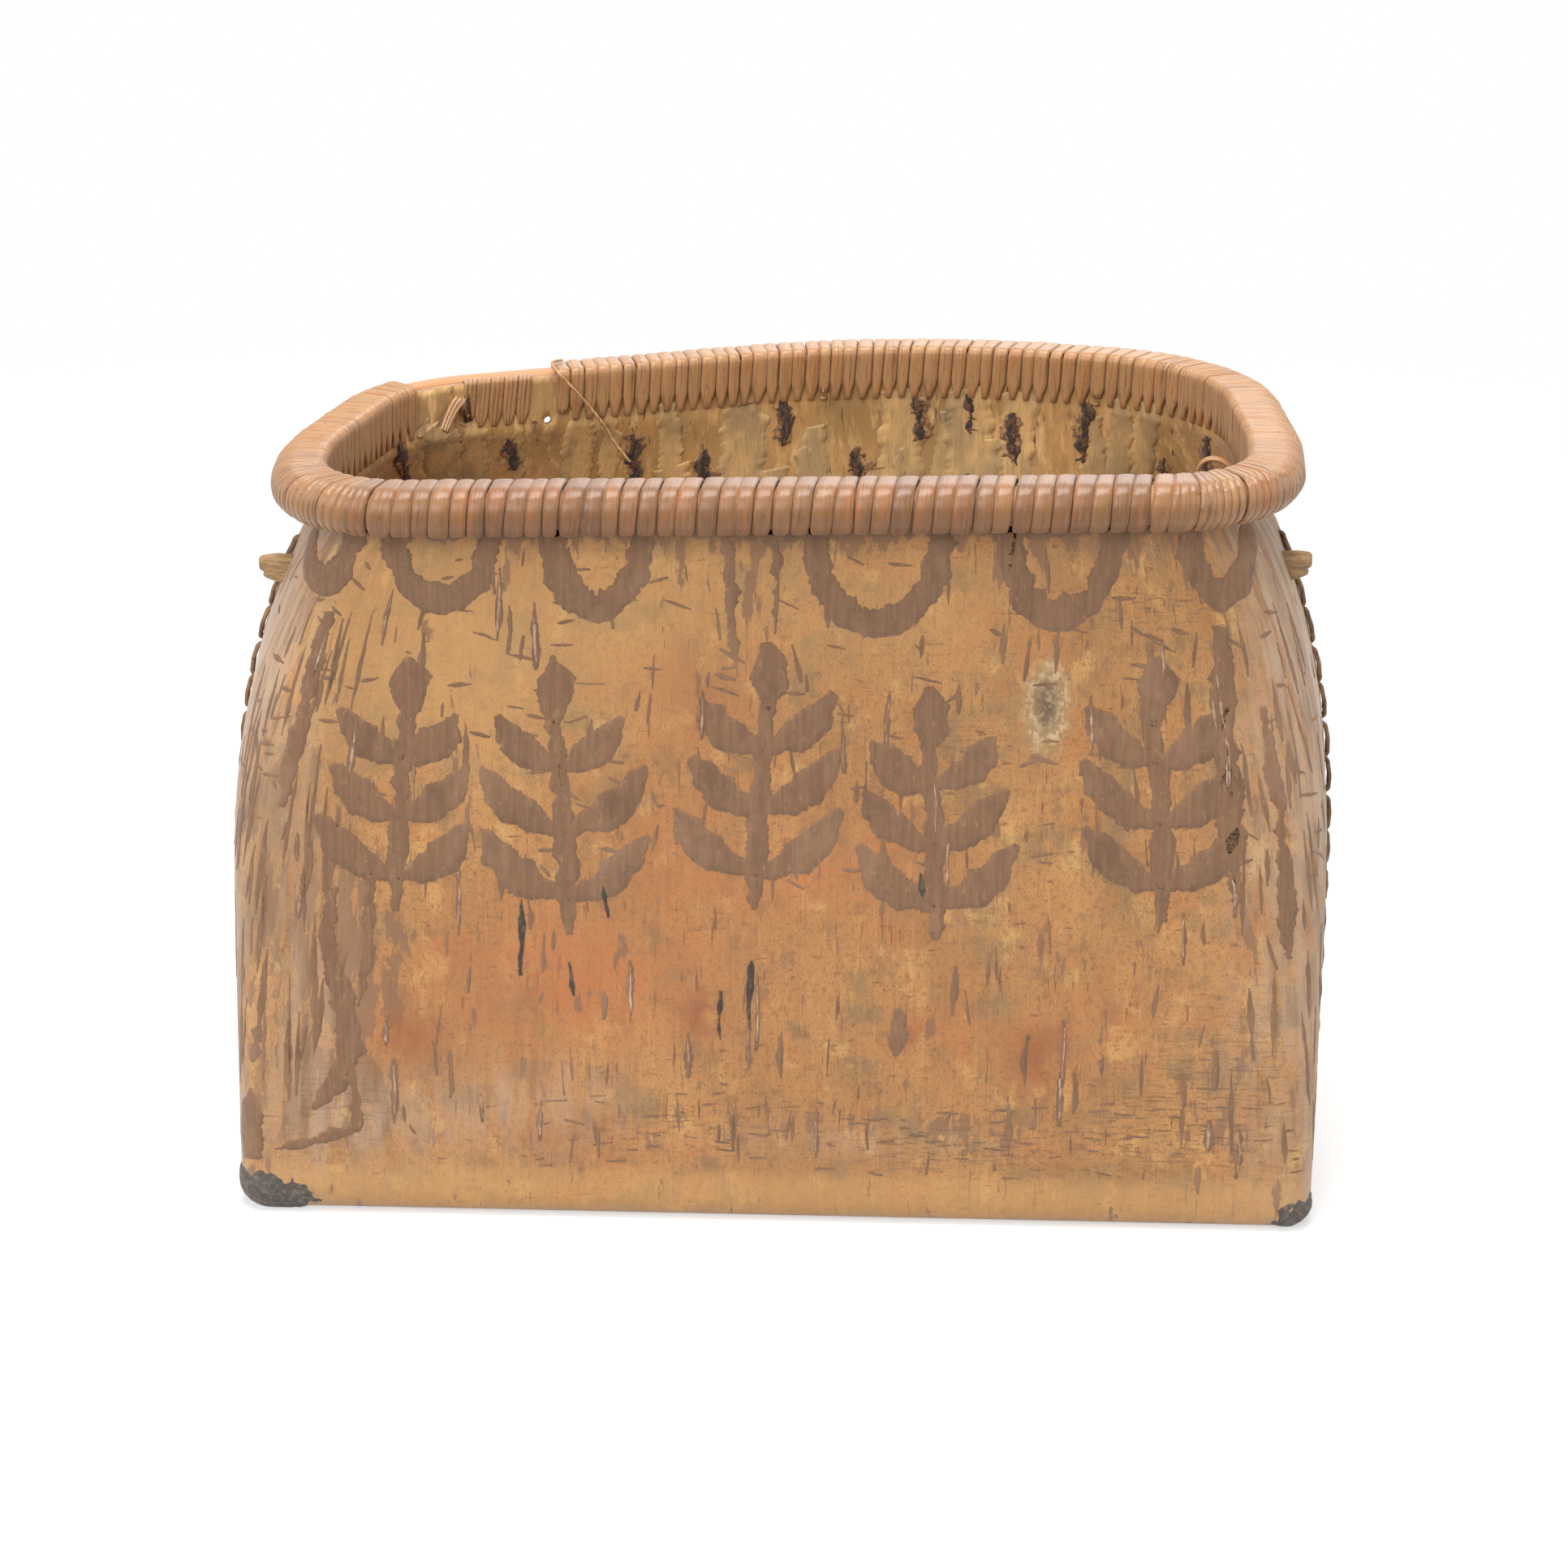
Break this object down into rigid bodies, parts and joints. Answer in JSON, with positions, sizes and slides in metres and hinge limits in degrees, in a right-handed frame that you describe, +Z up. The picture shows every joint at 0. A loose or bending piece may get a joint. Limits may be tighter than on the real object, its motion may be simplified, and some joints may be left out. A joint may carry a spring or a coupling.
{
  "type": "birch bark basket",
  "caption": "Oblong basket of folded birch bark with a bent-wood hoop lashed round its mouth by split roots, sewn lapped ends, hide thongs and gummed bottom corners",
  "frame": {"origin": "the middle of the basket's flat underside, between its front and back walls and its two ends", "axes": "+X along the mouth towards the basket's right end seen from the front, +Y to the back, +Z up"},
  "size_m": [0.3044, 0.1651, 0.2166],
  "materials": {
    "birch_bark": "thin folded bark, smooth ochre inner face turned out, rough pale outer face turned in",
    "hoop_wood": "bent split wood, scraped smooth and darkened",
    "split_root": "split root, rounded back outward, worn to a low gloss",
    "seam_root": "split root, dark and dry",
    "hide": "raw hide, dry and frayed",
    "gum": "brittle tree gum, dull black",
    "root_fibre": "frayed root fibre"
  },
  "bodies": {
    "root": {"bark_sheet": "birch_bark", "rim_hoop": "hoop_wood", "under_lashing": "split_root", "rim_root_1": "split_root", "rim_root_2": "split_root", "rim_root_3": "split_root", "rim_root_4": "split_root", "rim_root_5": "split_root", "rim_root_6": "split_root", "rim_root_7": "split_root", "seam_root_right": "seam_root", "seam_root_left": "seam_root", "thong_right": "hide", "thong_left": "hide", "gum_left": "gum", "gum_right": "gum", "loose_fibre": "root_fibre"}
  },
  "joints": []
}
